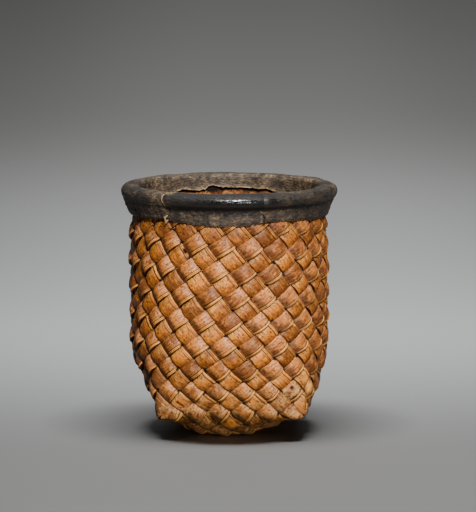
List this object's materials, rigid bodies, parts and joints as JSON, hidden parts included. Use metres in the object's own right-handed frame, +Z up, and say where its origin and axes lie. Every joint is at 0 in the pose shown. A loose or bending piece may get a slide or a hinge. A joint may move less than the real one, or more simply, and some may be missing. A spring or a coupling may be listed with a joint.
{
  "type": "wedding basket",
  "caption": "Small round open basket on a square base, plaited from flat leaf strips, with a flared leather-covered rim.",
  "frame": {"origin": "on the ground, under the middle of the base", "axes": "+Z up along the basket's axis, front of the basket towards -Y, +X to its right"},
  "size_m": [0.1514, 0.1514, 0.176],
  "materials": {
    "warp_strips": "folded palm leaf, orange-brown, dry and matte with worn paler ribs",
    "weft_strips": "folded palm leaf, orange-brown, dry and matte with worn paler ribs",
    "hoop": "bare round rod, hidden under the leather",
    "leather": "dark goat or cow hide, polished by handling at the front, dusty and wrinkled elsewhere",
    "thong": "pale rawhide thong"
  },
  "bodies": {
    "root": {"warp_strip_01": "warp_strips", "warp_strip_02": "warp_strips", "warp_strip_03": "warp_strips", "warp_strip_04": "warp_strips", "warp_strip_05": "warp_strips", "warp_strip_06": "warp_strips", "warp_strip_07": "warp_strips", "warp_strip_08": "warp_strips", "warp_strip_09": "warp_strips", "warp_strip_10": "warp_strips", "warp_strip_11": "warp_strips", "weft_strip_01": "weft_strips", "weft_strip_02": "weft_strips", "weft_strip_03": "weft_strips", "weft_strip_04": "weft_strips", "weft_strip_05": "weft_strips", "weft_strip_06": "weft_strips", "weft_strip_07": "weft_strips", "weft_strip_08": "weft_strips", "weft_strip_09": "weft_strips", "weft_strip_10": "weft_strips", "weft_strip_11": "weft_strips", "rim_hoop": "hoop", "rim_leather_front": "leather", "rim_leather_back": "leather", "lap_stitch_left": "thong", "lap_stitch_right": "thong"}
  },
  "joints": []
}
